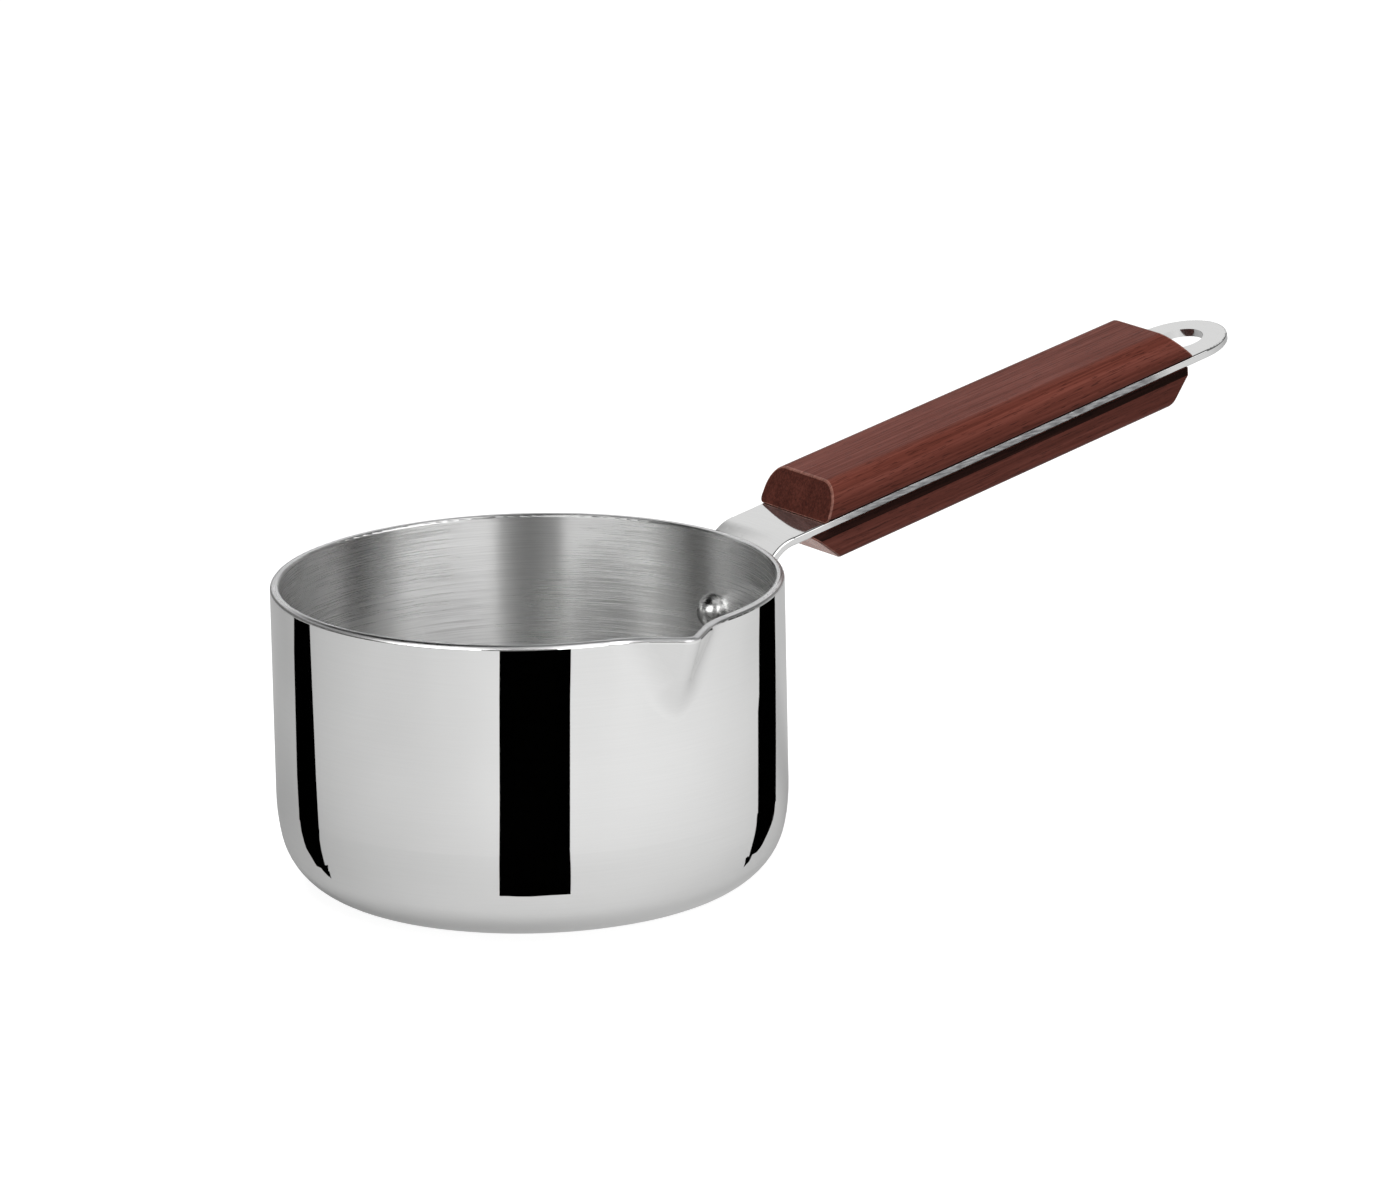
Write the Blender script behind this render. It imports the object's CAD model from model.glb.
# %% [markdown]
# # A milk pan with a wooden grip, dressed for a studio photograph
#
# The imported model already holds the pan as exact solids: a clad bowl in three layers, a bent
# strap, two wooden scales, two rivets and two screws. This lesson gives them their finishes,
# models the two scales anew, because their sawn ends need a finish of their own, and lights the
# pan as a product photograph is lit. Everything is in metres, in the frame of the model: the
# origin is the centre of the base, +Z is up, the handle points along +X and the spout along -Y.

from math import cos, pi, radians, sin

import bpy
from mathutils import Matrix, Vector


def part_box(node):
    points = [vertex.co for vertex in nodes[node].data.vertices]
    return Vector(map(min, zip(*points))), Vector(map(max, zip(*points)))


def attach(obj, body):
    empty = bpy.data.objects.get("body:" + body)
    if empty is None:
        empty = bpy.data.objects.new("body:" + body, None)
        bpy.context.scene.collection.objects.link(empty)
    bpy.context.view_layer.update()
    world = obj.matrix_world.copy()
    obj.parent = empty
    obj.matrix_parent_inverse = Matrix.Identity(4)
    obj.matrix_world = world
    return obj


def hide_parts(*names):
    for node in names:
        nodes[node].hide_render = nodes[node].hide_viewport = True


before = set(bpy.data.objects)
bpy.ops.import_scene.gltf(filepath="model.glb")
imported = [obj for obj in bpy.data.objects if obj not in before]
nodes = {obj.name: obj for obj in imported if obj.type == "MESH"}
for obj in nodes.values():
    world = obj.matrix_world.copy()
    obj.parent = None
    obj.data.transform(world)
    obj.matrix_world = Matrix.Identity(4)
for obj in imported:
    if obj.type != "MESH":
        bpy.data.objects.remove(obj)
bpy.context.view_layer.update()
scene = bpy.context.scene

# %% [markdown]
# ## Sizes that everything hangs on
#
# A piece fits only if it takes its size from what it sits on. The pan's radius and height and
# the strap's width are read from the frame. Only what the boxes can't tell is written as a
# number: the slope of the handle, the strap's thickness and the height where it leaves the wall.

# %% Named sizes
MM = 0.001
body_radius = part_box("outer_shell")[1][0]
body_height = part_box("inner_lining")[1][2]
strap_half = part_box("handle_strap")[1][1]
strap_rise = radians(11.9)
strap_thickness = 2.3 * MM
strap_foot = Vector((body_radius, 0, 81.7 * MM))
strap_normal = Vector((-sin(strap_rise), 0, cos(strap_rise)))
print("pan", round(body_radius / MM, 1), "x", round(body_height / MM, 1), "mm")

# %% [markdown]
# ## The camera
#
# The photograph was taken from far away with a long lens, which keeps the rim's ellipse flat and
# the wall's sides upright. The camera looks down by about fifteen degrees, from the spout's side,
# with the handle pointing to the right and away. A camera's matrix has its own right, up and back
# directions as columns, so a small roll is a turn of the first two about the third.

# %% Camera at the photograph's viewing angle
view_turn = radians(-34.75)
view_fall = radians(15.258)
view_roll = radians(-1.232)
view_distance = 3.0
aim_side, aim_rise = 44.24 * MM, -6.99 * MM
sensor_width = 36.0
lens_length = 287.77
farthest_seen = 50

turn = Matrix.Rotation(view_turn, 3, "Z")
look = turn @ Vector((0, cos(view_fall), -sin(view_fall)))
right = turn @ Vector((1, 0, 0))
lift = turn @ Vector((0, sin(view_fall), cos(view_fall)))
target = Vector((0, 0, body_height))
camera_place = target - view_distance * look + aim_side * right + aim_rise * lift
camera_right = cos(view_roll) * right + sin(view_roll) * lift
camera_up = -sin(view_roll) * right + cos(view_roll) * lift

bpy.ops.object.camera_add(location=camera_place)
camera = bpy.context.object
camera.name = "photo_camera"
pose = Matrix((camera_right, camera_up, -look)).transposed().to_4x4()
pose.translation = camera_place
camera.matrix_world = pose
camera.data.sensor_width = sensor_width
camera.data.lens = lens_length
camera.data.clip_end = farthest_seen
scene.camera = camera
print("camera at", [round(value, 3) for value in camera_place])

# %% [markdown]
# ## Short hands for node trees
#
# A material is a tree of nodes. A few helpers keep each tree readable: they add a node with its
# settings, join an output to an input, or fill a node's inputs by name. A value that is the same
# all over goes straight on the shader's own socket, one that changes arrives by a link.

# %% Nodes and links
def add_node(tree, kind, **settings):
    node = tree.nodes.new(kind)
    for name, value in settings.items():
        setattr(node, name, value)
    return node


def join(tree, output, socket):
    tree.links.new(output, socket)


def fill(tree, socket, value):
    if isinstance(value, bpy.types.NodeSocket):
        join(tree, value, socket)
    else:
        socket.default_value = value


def feed(tree, node, **values):
    for name, value in values.items():
        fill(tree, node.inputs[name.replace("_", " ")], value)
    return node


# %% Sums, masks and noise
def calculate(tree, operation, first, second=0.0):
    node = add_node(tree, "ShaderNodeMath", operation=operation)
    fill(tree, node.inputs[0], first)
    fill(tree, node.inputs[1], second)
    return node.outputs[0]


def spread(tree, value, low, high, new_low, new_high):
    node = add_node(tree, "ShaderNodeMapRange", interpolation_type="SMOOTHSTEP")
    feed(tree, node, Value=value, From_Min=low, From_Max=high, To_Min=new_low, To_Max=new_high)
    return node.outputs[0]


def split_place(tree, place):
    node = add_node(tree, "ShaderNodeSeparateXYZ")
    join(tree, place, node.inputs[0])
    return node.outputs


def noise(tree, place, scale, detail=2.0, distortion=0.0):
    node = add_node(tree, "ShaderNodeTexNoise")
    feed(tree, node, Vector=place, Scale=scale, Detail=detail, Distortion=distortion)
    return node.outputs[0]


def stretch(tree, place, scale, turn_by=(0, 0, 0)):
    node = add_node(tree, "ShaderNodeMapping", vector_type="POINT")
    feed(tree, node, Vector=place, Rotation=turn_by, Scale=scale)
    return node.outputs[0]


# %% Colours
def colour_ramp(tree, factor, stops):
    node = add_node(tree, "ShaderNodeValToRGB")
    while len(node.color_ramp.elements) < len(stops):
        node.color_ramp.elements.new(1.0)
    for element, (position, colour) in zip(node.color_ramp.elements, stops):
        element.position = position
        element.color = (*colour, 1.0)
    join(tree, factor, node.inputs[0])
    return node.outputs[0]


def mix_colours(tree, factor, first, second):
    node = add_node(tree, "ShaderNodeMix", data_type="RGBA")
    for number, value in ((0, factor), (6, first), (7, second)):
        fill(tree, node.inputs[number], value)
    return node.outputs[2]


# %% Groups and materials
def new_group(name, inputs, outputs):
    group = bpy.data.node_groups.new(name, "ShaderNodeTree")
    for socket, kind in inputs:
        group.interface.new_socket(name=socket, in_out="INPUT", socket_type=kind)
    for socket, kind in outputs:
        group.interface.new_socket(name=socket, in_out="OUTPUT", socket_type=kind)
    return group, add_node(group, "NodeGroupInput").outputs, add_node(group, "NodeGroupOutput")


def start_material(name, **constants):
    material = bpy.data.materials.new(name)
    material.use_nodes = True
    tree = material.node_tree
    shader = feed(tree, tree.nodes["Principled BSDF"], **constants)
    place = add_node(tree, "ShaderNodeTexCoord").outputs["Object"]
    return material, tree, shader, place


def start_empty_paint(name):
    paint = bpy.data.materials.new(name)
    paint.use_nodes = True
    paint.node_tree.nodes.clear()
    return paint, paint.node_tree


def give(piece, *materials):
    piece.data.materials.clear()
    for material in materials:
        piece.data.materials.append(material)


print("helpers ready")

# %% [markdown]
# ## One group for every scratched metal
#
# Polished, brushed and turned steel differ only in how deep and how close their scratches lie.
# Noise that is squeezed along one direction makes lines. On a spun pan the lines run round the
# axis, so the pattern reads the height plus the distance from the axis, and hardly the place
# around it: that one sum gives level lines on the wall and circles on the floor of the pan. Two
# layers, one of long lines and one of short ones, keep them from looking ruled. The group puts
# out the lines and a slow cloudy mask for the uneven gloss that a polishing wheel leaves.

# %% Group: scratches that run round an axis
def turned_lines_group():
    rates = ("Lines per metre", "Breaks per metre", "Clouds per metre")
    inputs = [("Place", "NodeSocketVector")] + [(rate, "NodeSocketFloat") for rate in rates]
    outputs = [("Lines", "NodeSocketFloat"), ("Clouds", "NodeSocketFloat")]
    group, start, end = new_group("lines_round_the_axis", inputs, outputs)
    x, y, z = split_place(group, start["Place"])
    x_square, y_square = calculate(group, "MULTIPLY", x, x), calculate(group, "MULTIPLY", y, y)
    from_axis = calculate(group, "SQRT", calculate(group, "ADD", x_square, y_square))
    reach = calculate(group, "ADD", from_axis, z)
    layers = []
    for closeness, breaks in ((1.0, 1.0), (1.7, 4.0)):
        around = calculate(group, "MULTIPLY", start["Breaks per metre"], breaks)
        across = calculate(group, "MULTIPLY", start["Lines per metre"], closeness)
        merge = add_node(group, "ShaderNodeCombineXYZ")
        for number, (part, rate) in enumerate(((x, around), (y, around), (reach, across))):
            join(group, calculate(group, "MULTIPLY", part, rate), merge.inputs[number])
        layers.append(noise(group, merge.outputs[0], 1.0))
    both = calculate(group, "MULTIPLY", calculate(group, "ADD", *layers), 0.5)
    join(group, spread(group, both, 0.32, 0.68, 0.0, 1.0), end.inputs["Lines"])
    clouds = noise(group, start["Place"], start["Clouds per metre"])
    join(group, spread(group, clouds, 0.3, 0.7, 0.0, 1.0), end.inputs["Clouds"])
    return group


turned_lines = turned_lines_group()
print("group", turned_lines.name)

# %% [markdown]
# ## Steel
#
# Stainless steel is a metal that mirrors its surroundings with a faint grey tint. What tells one
# finish from another is the roughness: almost none on the polished outside, and a wide gloss on
# the brushed inside. The scratches darken the tint a little, and with the clouds they make the
# roughness uneven, so that no finish is flat.

# %% One function for the steels
cloud_rate = 18.0


def steel(name, tint, roughness, depth, lines, breaks, bump=0.0, **constants):
    material, tree, shader, place = start_material(name, Metallic=1.0, **constants)
    pattern = add_node(tree, "ShaderNodeGroup", node_tree=turned_lines)
    feed(tree, pattern, Place=place, Lines_per_metre=lines)
    feed(tree, pattern, Breaks_per_metre=breaks, Clouds_per_metre=cloud_rate)
    scratch, cloud = pattern.outputs
    dark = tuple(part * (1 - depth) for part in tint)
    colour = colour_ramp(tree, scratch, [(0.0, dark), (1.0, tint)])
    by_scratch = spread(tree, scratch, 0, 1, 0.8, 1.1)
    by_cloud = spread(tree, cloud, 0, 1, -0.15, 0.15)
    uneven = calculate(tree, "ADD", by_scratch, by_cloud)
    gloss = calculate(tree, "MULTIPLY", uneven, roughness)
    feed(tree, shader, Base_Color=colour, Roughness=gloss)
    if bump:
        relief = add_node(tree, "ShaderNodeBump")
        feed(tree, relief, Strength=1.0, Distance=bump, Height=scratch)
        feed(tree, shader, Normal=relief.outputs[0])
    return material, tree, shader, place


def change_gloss(tree, shader, operation, mask):
    gloss = shader.inputs["Roughness"].links[0].from_socket
    feed(tree, shader, Roughness=calculate(tree, operation, gloss, mask))


def rim_mask(tree, place, foot_depth, full_depth, plain, at_rim):
    height = split_place(tree, place)[2]
    foot, full = body_height - foot_depth, body_height - full_depth
    return spread(tree, height, foot, full, plain, at_rim)


# %% [markdown]
# ### The pan's three layers, its rivets and its screws
#
# Scratches spread light across themselves and not along themselves, so the brushed steel is
# anisotropic: its tangent runs round the pan, and a quarter turn of the highlight makes it stand
# upright, as on every brushed pot. At the rounded rim all three layers come to about the same
# satin gloss, by a mask that rises in the last millimetre, so that they read as one edge.

# %% Finishes of the pan
mirror_steel, tree, shader, place = steel(
    "mirror_steel", (0.80, 0.80, 0.795), roughness=0.035, depth=0.02, lines=3000, breaks=20
)
change_gloss(tree, shader, "ADD", rim_mask(tree, place, 1.1 * MM, 0.8 * MM, 0.0, 0.33))

brushed_steel, tree, shader, place = steel(
    "brushed_steel",
    (0.86, 0.86, 0.855),
    roughness=0.30,
    depth=0.14,
    lines=3600,
    breaks=22,
    bump=0.003 * MM,
    Anisotropic=1.0,
    Anisotropic_Rotation=0.25,
)
round_the_pan = add_node(tree, "ShaderNodeTangent", direction_type="RADIAL", axis="Z")
join(tree, round_the_pan.outputs[0], shader.inputs["Tangent"])
change_gloss(tree, shader, "MULTIPLY", rim_mask(tree, place, 0.9 * MM, 0.6 * MM, 1.0, 1.22))

rivet_steel, *_ = steel(
    "rivet_steel", (0.66, 0.66, 0.655), roughness=0.28, depth=0.12, lines=1500, breaks=60
)
screw_steel, *_ = steel(
    "screw_steel", (0.55, 0.55, 0.55), 0.25, depth=0.2, lines=4000, breaks=200, bump=0.002 * MM
)
core_aluminium, *_ = steel(
    "core_aluminium", (0.84, 0.84, 0.845), roughness=0.37, depth=0.04, lines=5000, breaks=60
)
finishes = {
    "outer_shell": mirror_steel,
    "aluminium_core": core_aluminium,
    "inner_lining": brushed_steel,
    "rivet_spout_side": rivet_steel,
    "rivet_far_side": rivet_steel,
    "screw_front": screw_steel,
    "screw_rear": screw_steel,
}
for node, finish in finishes.items():
    give(nodes[node], finish)
print("metal finishes on", len(finishes), "nodes")

# %% [markdown]
# ### The strap's steel
#
# The strap is polished flat on its broad faces. Its long edges were only sheared, and stay grey
# and dull where the wood covers the faces, so a mask of the place darkens them there: it rises
# over the last half millimetre across, begins where the wood begins and ends where it ends.

# %% Strap finish
strap_steel, tree, shader, place = steel(
    "strap_steel", (0.76, 0.76, 0.755), roughness=0.06, depth=0.04, lines=2500, breaks=30
)
wood_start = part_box("upper_scale")[0][0]
along, aside, _ = split_place(tree, place)
across = calculate(tree, "ABSOLUTE", aside)
at_edge = spread(tree, across, strap_half - 0.5 * MM, strap_half - 0.1 * MM, 0.0, 1.0)
in_grip = spread(tree, along, wood_start - 4 * MM, wood_start + 14 * MM, 0.0, 1.0)
past_grip = spread(tree, along, wood_start + 110 * MM, wood_start + 122 * MM, 1.0, 0.0)
edge_in_grip = calculate(tree, "MULTIPLY", at_edge, in_grip)
sheared = calculate(tree, "MULTIPLY", edge_in_grip, past_grip)

shear_marks = stretch(tree, place, (260, 900, 1800), (0, strap_rise, 0))
speckle = noise(tree, shear_marks, 1.0, detail=3.0)
edge_stops = [(0.35, (0.20, 0.20, 0.205)), (0.65, (0.46, 0.465, 0.47))]
edge_colour = colour_ramp(tree, speckle, edge_stops)
plain_colour = shader.inputs["Base Color"].links[0].from_socket
feed(tree, shader, Base_Color=mix_colours(tree, sheared, plain_colour, edge_colour))
change_gloss(tree, shader, "ADD", calculate(tree, "MULTIPLY", sheared, 0.35))
give(nodes["handle_strap"], strap_steel)
print("strap finished, its wood begins at", round(wood_start / MM, 1), "mm")

# %% [markdown]
# ## Dark wood
#
# The grip is a reddish brown hardwood, oiled and sanded. Its grain runs along the handle: the
# place is first turned into the slope of the handle, then squeezed lengthwise, so that noise
# becomes long fibres. A slow noise makes the year's bands, a fine one draws the fibres, and the
# peaks of a third are short pores. The same block of noise is cut across at the ends, so the end
# grain follows of itself. One group serves all five cuts of the wood.

# %% Group: wood grain
def wood_grain_group():
    inputs = [("Place", "NodeSocketVector"), ("Band depth", "NodeSocketFloat")]
    outputs = [(name, "NodeSocketFloat") for name in ("Grain", "Pores", "Height")]
    group, start, end = new_group("wood_grain", inputs, outputs)
    lying = stretch(group, start["Place"], (1, 1, 1), (0, strap_rise, 0))
    bands = noise(group, stretch(group, lying, (5, 160, 120)), 1.0, distortion=0.3)
    fibres = noise(group, stretch(group, lying, (25, 1500, 1500)), 1.0, detail=4.0)
    specks = noise(group, stretch(group, lying, (220, 3600, 3600)), 1.0, detail=1.0)
    band_swing = calculate(group, "SUBTRACT", bands, 0.5)
    band_part = calculate(group, "MULTIPLY", band_swing, start["Band depth"])
    fibre_part = calculate(group, "MULTIPLY", calculate(group, "SUBTRACT", fibres, 0.5), 0.9)
    grain = calculate(group, "ADD", calculate(group, "ADD", band_part, fibre_part), 0.5)
    pores = spread(group, specks, 0.60, 0.68, 0.0, 1.0)
    height = calculate(group, "SUBTRACT", fibres, calculate(group, "MULTIPLY", pores, 0.5))
    for name, value in (("Grain", grain), ("Pores", pores), ("Height", height)):
        join(group, value, end.inputs[name])
    return group


wood_grain = wood_grain_group()
print("group", wood_grain.name)


# %% One function for the cuts of the wood
def wood(name, dark, middle, pale, shine, roughness, relief_depth):
    material, tree, shader, place = start_material(name, Specular_IOR_Level=shine)
    cut = add_node(tree, "ShaderNodeGroup", node_tree=wood_grain)
    feed(tree, cut, Place=place, Band_depth=0.55)
    grain, pores, height = cut.outputs
    colour = colour_ramp(tree, grain, [(0.25, dark), (0.5, middle), (0.75, pale)])
    deep = (*(0.45 * part for part in dark), 1.0)
    colour = mix_colours(tree, calculate(tree, "MULTIPLY", pores, 0.7), colour, deep)
    relief = add_node(tree, "ShaderNodeBump")
    feed(tree, relief, Strength=1.0, Distance=relief_depth, Height=height)
    uneven = spread(tree, grain, 0.2, 0.8, roughness + 0.08, roughness - 0.06)
    feed(tree, shader, Base_Color=colour, Roughness=uneven, Normal=relief.outputs[0])
    return material


# %% [markdown]
# ### Five cuts
#
# Along the grain the wood is oiled and warm. The upper scale's ends are darker, because end grain
# drinks more oil, and their sanded edges are paler. The lower scale's near end is a fresh slanted
# cut, pale and shiny, and its ledge beside the strap lies in its own shade.

# %% Wood finishes
dark_wood = wood(
    "dark_wood",
    dark=(0.070, 0.017, 0.011),
    middle=(0.112, 0.029, 0.020),
    pale=(0.160, 0.046, 0.033),
    shine=0.08,
    roughness=0.42,
    relief_depth=0.015 * MM,
)
end_grain = wood(
    "end_grain",
    dark=(0.035, 0.008, 0.006),
    middle=(0.070, 0.018, 0.012),
    pale=(0.110, 0.030, 0.021),
    shine=0.12,
    roughness=0.5,
    relief_depth=0.03 * MM,
)
sanded_edge = wood(
    "sanded_edge",
    dark=(0.100, 0.036, 0.026),
    middle=(0.190, 0.075, 0.055),
    pale=(0.300, 0.130, 0.100),
    shine=0.3,
    roughness=0.4,
    relief_depth=0.01 * MM,
)
pale_cut = wood(
    "pale_cut",
    dark=(0.540, 0.230, 0.170),
    middle=(0.740, 0.350, 0.270),
    pale=(0.860, 0.470, 0.380),
    shine=0.6,
    roughness=0.25,
    relief_depth=0.01 * MM,
)
shaded_cut = wood(
    "shaded_cut",
    dark=(0.006, 0.003, 0.002),
    middle=(0.014, 0.005, 0.004),
    pale=(0.030, 0.010, 0.007),
    shine=0.05,
    roughness=0.7,
    relief_depth=0.02 * MM,
)
cuts = (dark_wood, end_grain, sanded_edge, pale_cut, shaded_cut)
LONG_FACE, END_FACE, SANDED, PALE, SHADED = range(len(cuts))
print("cuts of the wood:", [cut.name for cut in cuts])

# %% [markdown]
# ## The wooden scales
#
# The two grips are sawn from bars, so they are modelled as a carpenter makes them: a block is
# added lying along X, its sides, ends and ledge are sawn off with a bisect, and the long edges
# are rounded with a bevel. At the end the block is laid on the strap by a turn and a move, which
# are applied. The solids would do for the shape, but only faces cut here can be told apart by
# their finish.

# %% Helpers for hand modelling
def deselect_all():
    if bpy.context.object and bpy.context.object.mode != "OBJECT":
        bpy.ops.object.mode_set(mode="OBJECT")
    bpy.ops.object.select_all(action="DESELECT")


def take(piece):
    deselect_all()
    piece.select_set(True)
    bpy.context.view_layer.objects.active = piece


def apply_place(piece):
    take(piece)
    bpy.ops.object.transform_apply(location=True, rotation=True, scale=True)


def add_block(name, low, high):
    deselect_all()
    centre = [(a + b) / 2 for a, b in zip(low, high)]
    size = [b - a for a, b in zip(low, high)]
    bpy.ops.mesh.primitive_cube_add(size=1, location=centre, scale=size)
    piece = bpy.context.object
    piece.name = piece.data.name = name
    apply_place(piece)
    return piece


def saw(piece, point, way):
    take(piece)
    bpy.ops.object.mode_set(mode="EDIT")
    bpy.ops.mesh.select_all(action="SELECT")
    bpy.ops.mesh.bisect(plane_co=point, plane_no=way, use_fill=True, clear_outer=True)
    bpy.ops.object.mode_set(mode="OBJECT")


# %% Helpers for edges
def pick_edges(piece, wanted):
    take(piece)
    bpy.ops.object.mode_set(mode="EDIT")
    bpy.ops.mesh.select_mode(type="EDGE")
    bpy.ops.mesh.select_all(action="DESELECT")
    bpy.ops.object.mode_set(mode="OBJECT")
    points = piece.data.vertices
    for edge in piece.data.edges:
        first, second = (points[corner].co for corner in edge.vertices)
        edge.select = wanted(first, second)
    bpy.ops.object.mode_set(mode="EDIT")


def round_edges(piece, wanted, radius, steps):
    pick_edges(piece, wanted)
    bpy.ops.mesh.bevel(offset=radius, segments=steps, affect="EDGES")
    bpy.ops.object.mode_set(mode="OBJECT")


def smooth(piece, sharpest=radians(40)):
    take(piece)
    bpy.ops.object.shade_smooth_by_angle(angle=sharpest)
    even = piece.modifiers.new("even_normals", "WEIGHTED_NORMAL")
    even.keep_sharp = True
    bpy.ops.object.modifier_apply(modifier=even.name)


print("carpenter's helpers ready")

# %% [markdown]
# ### End faces and their sanded edges
#
# The faces get their cuts by where their normal points: far along X at the ends, slanting down
# on the ledge. Then the edges all round the ends are taken off by half a millimetre, and the
# narrow faces that this makes get the sanded finish in the same step.

# %% Cuts by the normal
end_rounding = 0.5 * MM
end_steps = 3


def mark_ends(piece, has_ledge):
    give(piece, *cuts)
    faces = piece.data.polygons
    ends = {face.index for face in faces if abs(face.normal.x) > 0.5}
    rims = {key for face in faces if face.index in ends for key in face.edge_keys}
    for face in faces:
        on_ledge = -0.99 < face.normal.z < -0.3 and face.index not in ends
        face.material_index = SHADED if on_ledge else END_FACE if face.index in ends else LONG_FACE
        if has_ledge and face.normal.x < -0.5:
            face.material_index = PALE
    points = [tuple(vertex.co) for vertex in piece.data.vertices]
    corners = {frozenset((points[first], points[second])) for first, second in rims}
    pick_edges(piece, lambda a, b: frozenset((tuple(a), tuple(b))) in corners)
    bpy.ops.mesh.bevel(offset=end_rounding, segments=end_steps, affect="EDGES", material=SANDED)
    bpy.ops.object.mode_set(mode="OBJECT")
    print(piece.name, len(piece.data.polygons), "faces, ends", len(ends))


# %% [markdown]
# ### One function for both scales
#
# The lower scale is the upper one turned over, with a ledge sawn off beside the strap. Both are
# made standing on the plane Z = 0, which stands for the strap's face. Their sides lean in
# towards the top, and a slanted saw cut makes the upper one thinner at the far end. The long
# edges are found by their direction and height.

# %% Scales from blocks
scale_half, scale_top_half = 16.4 * MM, 15.3 * MM
lower_height = 9.2 * MM
saw_waste = 5 * MM
long_enough = 60 * MM
shoulder_steps, foot_steps = 10, 6


def is_long(first, second):
    return abs(first.x - second.x) > long_enough


def slanted(angle, hand):
    return (hand * cos(radians(angle)), 0, sin(radians(angle)))


def sawn_scale(name, ends, heights, slants, shoulder, foot=0.0, ledge=0.0):
    (start, end), (start_height, end_height) = ends, heights
    low = (start - saw_waste, -scale_half, 0)
    high = (end + saw_waste, scale_half, start_height + saw_waste)
    piece = add_block(name, low, high)
    lean = (scale_half - scale_top_half) / start_height
    slope = (start_height - end_height) / (end - start)
    for hand in (-1, 1):
        saw(piece, (0, hand * scale_half, ledge), (0, hand, lean))
        if ledge:
            fall = (scale_half - strap_half) / ledge
            saw(piece, (0, hand * strap_half, 0), (0, hand, -fall))
    saw(piece, (start, 0, start_height), (slope, 0, 1))
    saw(piece, (start, 0, 0), slanted(slants[0], -1))
    saw(piece, (end, 0, 0), slanted(slants[1], 1))
    tall = end_height / 2
    round_edges(piece, lambda a, b: is_long(a, b) and a.z > tall, shoulder, shoulder_steps)
    if foot:
        low_down = tall / 9
        round_edges(piece, lambda a, b: is_long(a, b) and a.z < low_down, foot, foot_steps)
    mark_ends(piece, ledge > 0)
    return piece


upper_wood = sawn_scale(
    "upper_wood",
    ends=(19.8 * MM, 150.6 * MM),
    heights=(9.8 * MM, 8.6 * MM),
    slants=(33, 35),
    shoulder=6.2 * MM,
    foot=1.8 * MM,
)
lower_wood = sawn_scale(
    "lower_wood",
    ends=(14.9 * MM, 148.8 * MM),
    heights=(lower_height, lower_height),
    slants=(41, 43),
    shoulder=2.2 * MM,
    ledge=0.85 * MM,
)

# %% [markdown]
# ### Countersunk holes
#
# The lower scale has two holes for the screws. The cutter of a hole starts as a cone, the sink.
# Its small end is extruded into the shank's rod and its wide end out past the wood, and a
# Boolean takes it away.

# %% Holes
screw_places = (42 * MM, 128 * MM)
hole_radius, sink_radius = 1.75 * MM, 3.35 * MM
rod_length, head_room = 12 * MM, 2 * MM
hole_corners = 48
touch = 0.1 * MM


def drill(piece, distance):
    deselect_all()
    sink_depth = sink_radius - hole_radius
    sink_foot = lower_height - sink_depth
    cone_middle = (distance, 0, lower_height - sink_depth / 2)
    bpy.ops.mesh.primitive_cone_add(
        vertices=hole_corners,
        radius1=hole_radius,
        radius2=sink_radius,
        depth=sink_depth,
        location=cone_middle,
    )
    cutter = bpy.context.object
    give(cutter, end_grain)
    bpy.ops.object.mode_set(mode="EDIT")
    bpy.ops.mesh.select_mode(type="FACE")
    for height, way, reach in ((sink_foot, -1, rod_length), (lower_height, 1, head_room)):
        bpy.ops.mesh.select_all(action="DESELECT")
        bpy.ops.object.mode_set(mode="OBJECT")
        for face in cutter.data.polygons:
            past = (face.center.z + cone_middle[2] - height) * way
            face.select = abs(face.normal.z) > 0.99 and past > -touch
        bpy.ops.object.mode_set(mode="EDIT")
        bpy.ops.mesh.extrude_region_move(TRANSFORM_OT_translate={"value": (0, 0, way * reach)})
    bpy.ops.object.mode_set(mode="OBJECT")
    hole = piece.modifiers.new("hole", "BOOLEAN")
    hole.operation, hole.solver, hole.object = "DIFFERENCE", "EXACT", cutter
    take(piece)
    bpy.ops.object.modifier_apply(modifier=hole.name)
    bpy.data.objects.remove(cutter)


for distance in screw_places:
    drill(lower_wood, distance)
print("drilled", len(screw_places), "holes,", len(lower_wood.data.polygons), "faces now")

# %% [markdown]
# ### The scales laid on the strap
#
# The upper scale moves out by the strap's thickness, the lower one is turned over, and both get
# the slope of the handle. Each then rides the one body, fills the wood's slot and takes the
# place of its solid. The print shows how far it ends from the solid's box on each side.

# %% Lay the scales on the strap
lower_wood.rotation_euler = (pi, -strap_rise, 0)
lower_wood.location = strap_foot
upper_wood.rotation_euler = (0, -strap_rise, 0)
upper_wood.location = strap_foot + strap_thickness * strap_normal
for piece, node in ((upper_wood, "upper_scale"), (lower_wood, "lower_scale")):
    smooth(piece)
    apply_place(piece)
    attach(piece, "root")
    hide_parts(node)
    low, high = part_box(node)
    points = [vertex.co for vertex in piece.data.vertices]
    at_low = [round((min(p[i] for p in points) - low[i]) / MM, 2) for i in range(3)]
    at_high = [round((max(p[i] for p in points) - high[i]) / MM, 2) for i in range(3)]
    print(piece.name, at_low, at_high)

# %% [markdown]
# ## Studio
#
# Polished metal shows nothing but its surroundings, so the room is what gives it its look. All of
# it is a matter of levels, and each level depends on the kind of ray that looks. The camera sees
# white, the wood is lit by a plain even level, and only the metal's mirror rays see the levels
# that are spread about the room. Two helpers say which way a place lies, as seen from the axis,
# and give each kind of ray its level.

# %% Directions and levels
view_front = turn @ Vector((0, -1, 0))
brightest = turn @ Vector((sin(radians(31)), -cos(radians(31)), 0))


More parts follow.
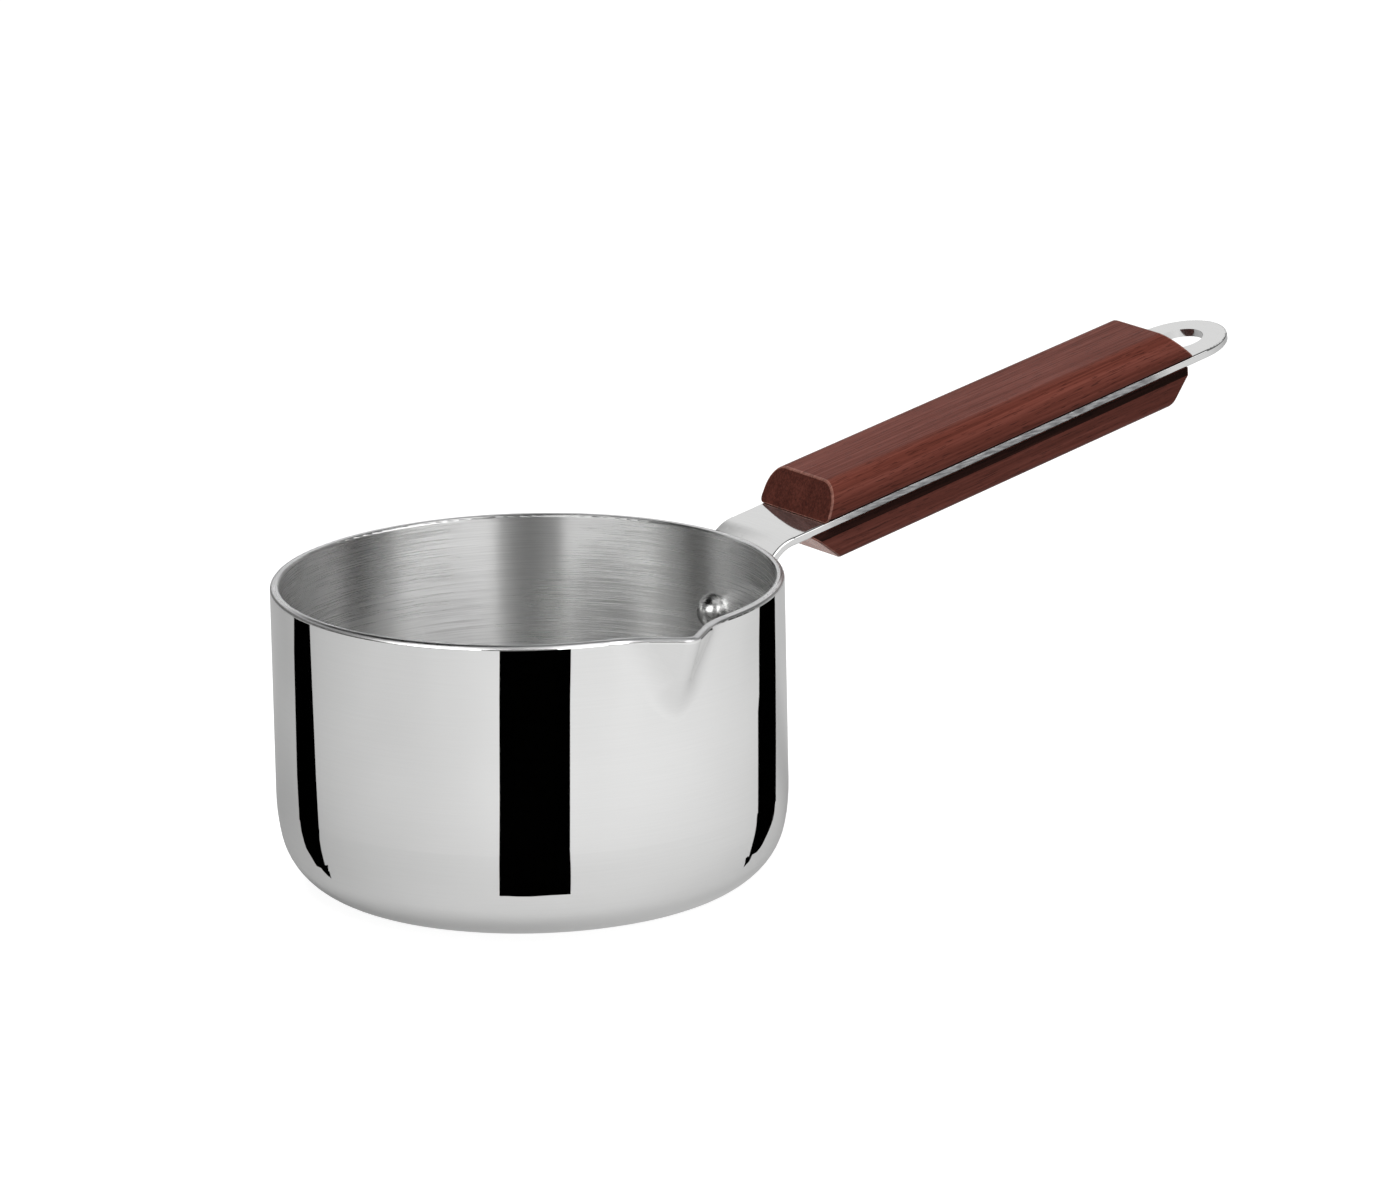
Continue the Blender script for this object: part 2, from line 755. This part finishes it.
def share_towards(tree, place, way):
    flat = feed(tree, add_node(tree, "ShaderNodeVectorMath", operation="MULTIPLY"), Vector=place)
    flat.inputs[1].default_value = (1, 1, 0)
    unit = add_node(tree, "ShaderNodeVectorMath", operation="NORMALIZE")
    join(tree, flat.outputs[0], unit.inputs[0])
    dot = add_node(tree, "ShaderNodeVectorMath", operation="DOT_PRODUCT")
    join(tree, unit.outputs[0], dot.inputs[0])
    dot.inputs[1].default_value = way
    return dot.outputs["Value"]


def level_by_ray(tree, camera_level, mirror_level, other_level):
    rays = add_node(tree, "ShaderNodeLightPath").outputs
    level = other_level
    for ray, wanted in (("Is Camera Ray", camera_level), ("Is Glossy Ray", mirror_level)):
        extra = calculate(tree, "SUBTRACT", wanted, other_level)
        level = calculate(tree, "ADD", level, calculate(tree, "MULTIPLY", rays[ray], extra))
    return level


# %% [markdown]
# ### The room's levels
#
# The room is bright in front, low down as well, because the brushed inside looks over the near
# rim to there. At the sides and behind it is dark near the horizon and bright higher up, where
# the strap looks. A strip behind, ten to twenty degrees up, lights the flat top of the rim. The
# brightest of the three counts, and straight overhead they all fade.

# %% World
room = bpy.data.worlds.new("studio_room")
scene.world = room
room.use_nodes = True
tree = room.node_tree
way = add_node(tree, "ShaderNodeTexCoord").outputs["Generated"]
rise = split_place(tree, way)[2]
in_front = spread(tree, share_towards(tree, way, view_front), 0.30, 0.58, 0.0, 1.0)
front_light = calculate(tree, "MULTIPLY", in_front, spread(tree, rise, 0.03, 0.11, 0.0, 3.0))

towards_back = share_towards(tree, way, -view_front)
high_level = spread(tree, towards_back, 0.3, 0.7, 0.3, 0.88)
high_light = calculate(tree, "MULTIPLY", spread(tree, rise, 0.35, 0.43, 0.1, 1.0), high_level)

behind = spread(tree, towards_back, 0.80, 0.92, 0.0, 1.35)
above_foot = spread(tree, rise, 0.17, 0.22, 0.0, 1.0)
below_top = spread(tree, rise, 0.29, 0.33, 1.0, 0.0)
strip = calculate(tree, "MULTIPLY", above_foot, below_top)
rim_light = calculate(tree, "MULTIPLY", behind, strip)

brighter = calculate(tree, "MAXIMUM", front_light, high_light)
room_light = calculate(tree, "MAXIMUM", brighter, rim_light)
overhead = spread(tree, rise, 0.55, 0.80, 1.0, 0.25)
room_mirrored = calculate(tree, "MULTIPLY", room_light, overhead)
level = level_by_ray(tree, camera_level=1.0, mirror_level=room_mirrored, other_level=0.32)
feed(tree, tree.nodes["Background"], Color=(1, 1, 1, 1), Strength=level)
scene.view_settings.view_transform = "Standard"
print("room", room.name)

# %% [markdown]
# ### The floor
#
# The floor looks white and keeps the pan's soft shadow. In the metal it is pale to the front
# right and slowly gets darker towards the back left, which models the outside wall. Close to the
# pan it is dimmer, so the heel darkens as it turns under, and a slow noise keeps it from looking
# computed.

# %% Floor
floor_drop = 0.05 * MM
floor_swing = 0.21
bpy.ops.mesh.primitive_plane_add(size=30, location=(0, 0, -floor_drop))
floor = bpy.context.object
floor.name = "studio_floor"
floor_paint, tree = start_empty_paint("studio_floor")
place = add_node(tree, "ShaderNodeTexCoord").outputs["Object"]
matte = feed(tree, add_node(tree, "ShaderNodeBsdfDiffuse"), Color=(0.30, 0.30, 0.30, 1))
turned_level = calculate(tree, "MULTIPLY", share_towards(tree, place, brightest), floor_swing)
soft = spread(tree, noise(tree, place, 3.0), 0.35, 0.65, 0.53, 0.59)
length = feed(tree, add_node(tree, "ShaderNodeVectorMath", operation="LENGTH"), Vector=place)
near_share = spread(tree, length.outputs["Value"], 0.06, 0.24, 0.76, 1.0)
pale_level = calculate(tree, "ADD", turned_level, soft)
dimmed_level = calculate(tree, "MULTIPLY", pale_level, near_share)
floor_mirrored = calculate(tree, "SUBTRACT", dimmed_level, floor_swing)
level = level_by_ray(tree, camera_level=0.9, mirror_level=floor_mirrored, other_level=0.3)
glow = feed(tree, add_node(tree, "ShaderNodeEmission"), Strength=level)
both = add_node(tree, "ShaderNodeAddShader")
join(tree, matte.outputs[0], both.inputs[0])
join(tree, glow.outputs[0], both.inputs[1])
join(tree, both.outputs[0], add_node(tree, "ShaderNodeOutputMaterial").inputs[0])
floor.data.materials.append(floor_paint)
print("floor", floor.name)

# %% [markdown]
# ### Black cards
#
# The bars on the wall are the mirror images of three narrow cards that stand close to it. Two
# tails lie on the floor, where the side bars bend round the heel and run out to a point. A grey
# card that stands far off and high makes the dim band on the inside, and one that lies over the
# pan keeps the inside deep. The upright wall looks at the cards along one shallow slope, and the
# tilted spout along steeper ones, so the right card's paint is clear to steep looks above the
# heel. That keeps its image out of the spout.

# %% Paints of the cards
def card_paint(name, level=0.0, steepest_look=None, clear_above=0.0):
    paint, tree = start_empty_paint(name)
    surface = feed(tree, add_node(tree, "ShaderNodeEmission"), Strength=level)
    if steepest_look:
        straight_up = add_node(tree, "ShaderNodeCombineXYZ")
        straight_up.inputs[2].default_value = 1.0
        layer_weight = add_node(tree, "ShaderNodeLayerWeight")
        slope = feed(tree, layer_weight, Normal=straight_up.outputs[0]).outputs["Facing"]
        steep = calculate(tree, "LESS_THAN", slope, 1 - sin(radians(steepest_look)))
        height = split_place(tree, add_node(tree, "ShaderNodeTexCoord").outputs["Object"])[2]
        high_up = calculate(tree, "GREATER_THAN", height, clear_above)
        clear = add_node(tree, "ShaderNodeBsdfTransparent")
        either = add_node(tree, "ShaderNodeMixShader")
        join(tree, calculate(tree, "MULTIPLY", steep, high_up), either.inputs[0])
        join(tree, surface.outputs[0], either.inputs[1])
        join(tree, clear.outputs[0], either.inputs[2])
        surface = either
    join(tree, surface.outputs[0], add_node(tree, "ShaderNodeOutputMaterial").inputs[0])
    return paint


card_black = card_paint("card_black")
card_grey = card_paint("card_grey", level=0.25)
card_for_level_looks = card_paint("card_for_level_looks", steepest_look=20, clear_above=21 * MM)
print("three card paints")

# %% [markdown]
# ### Outlines of the cards
#
# A card is drawn as an outline, in millimetres. An upright card lies on a plane that is named by
# the way it faces, in degrees from the camera, and by its distance from the axis. Its outline is
# a list of pairs: so far to the side, so high. A lying card gives all three distances. The metal
# alone sees the cards.

# %% Cards
def upright(facing, distance, outline):
    angle = radians(facing)
    ahead = Vector((sin(angle), -cos(angle), 0))
    aside = Vector((cos(angle), sin(angle), 0))
    return [ahead * distance + aside * side + Vector((0, 0, high)) for side, high in outline]


def lying(height, outline):
    return [(x, y, height) for x, y in outline]


def card(name, corners, paint=card_black):
    mesh = bpy.data.meshes.new(name)
    places = [turn @ (Vector(corner) * MM) for corner in corners]
    mesh.from_pydata(places, [], [range(len(places))])
    made = bpy.data.objects.new(name, mesh)
    scene.collection.objects.link(made)
    made.data.materials.append(paint)
    for ray in ("camera", "diffuse", "shadow", "transmission"):
        setattr(made, "visible_" + ray, False)
    print(name, len(corners), "corners")


# %% The three bars
middle_left = [(-13.4, 0.2), (-12.5, 11), (-11.8, 24), (-11.2, 38), (-10.3, 66), (-9.6, 82)]
middle_right = [(17.4, 82), (16.4, 65), (15.4, 37.5), (14.9, 23.6), (15.4, 9.8), (15.7, 0.2)]
card("card_middle", upright(0, 83.2, middle_left + middle_right))
left_outer = [(-31, 80), (-32, 76), (-34.6, 65), (-36, 45)]
left_outer += [(-37, 29), (-34.9, 19), (-34.3, 12.8), (-34.1, 4.7)]
left_inner = [(-23, 0.1), (-12.5, 0.1), (-9.4, 13), (-7.7, 21)]
left_inner += [(-8.2, 26), (-8.9, 36), (-9.6, 56), (-10.5, 80)]
card("card_left", upright(-61, 82, left_outer + left_inner))
right_inner = [(20.5, 80), (19.7, 76.6), (18, 68), (16.6, 53)]
right_inner += [(14.8, 48.5), (13.6, 33.5), (12.7, 23.5), (11.9, 17.8)]
right_outer = [(13.5, 0.1), (34, 0.1), (54, 4), (61, 15)]
right_outer += [(72, 30), (83, 48), (88, 59.6), (89, 63)]
card("card_right", upright(66, 82, right_inner + right_outer), card_for_level_looks)

# %% Tails on the floor, the band and the cover
tail_height, cover_height = 0.2, 190
left_tail = [(-84, -18.5), (-86, -28), (-78.5, -29.2), (-70.1, -30.8), (-76.6, -24.5)]
right_tail = [(84, -20.5), (76.5, -23), (70.3, -24.5), (75, -19.8), (83, -14)]
card("tail_left", lying(tail_height, left_tail))
card("tail_right", lying(tail_height, right_tail))
card("card_band", upright(0, 300, [(-97, 86), (84, 86), (96, 700), (-109, 700)]), card_grey)
card("card_over", lying(cover_height, [(-150, -60), (5, -60), (5, 119), (-150, 119)]))

# %% [markdown]
# ### Lamps
#
# Two large soft lamps, one above and one to the right, shape the wood and throw the faint shadow
# on the floor. They are hidden from the metal, so that no rounding sparkles.

# %% Two area lamps
def area_lamp(name, place, size, power):
    bpy.ops.object.light_add(type="AREA", location=place)
    lamp = bpy.context.object
    lamp.name = name
    lamp.data.size = size
    lamp.data.energy = power
    lamp.visible_glossy = False
    aim = Vector((body_radius / 2, 0, body_height))
    lamp.rotation_euler = (aim - Vector(place)).to_track_quat("-Z", "Y").to_euler()
    print(name, power, "W")


area_lamp("soft_above", turn @ Vector((-0.25, -0.35, 1.4)), size=0.9, power=19)
area_lamp("soft_right", turn @ Vector((1.1, -0.3, 0.9)), size=0.6, power=5)
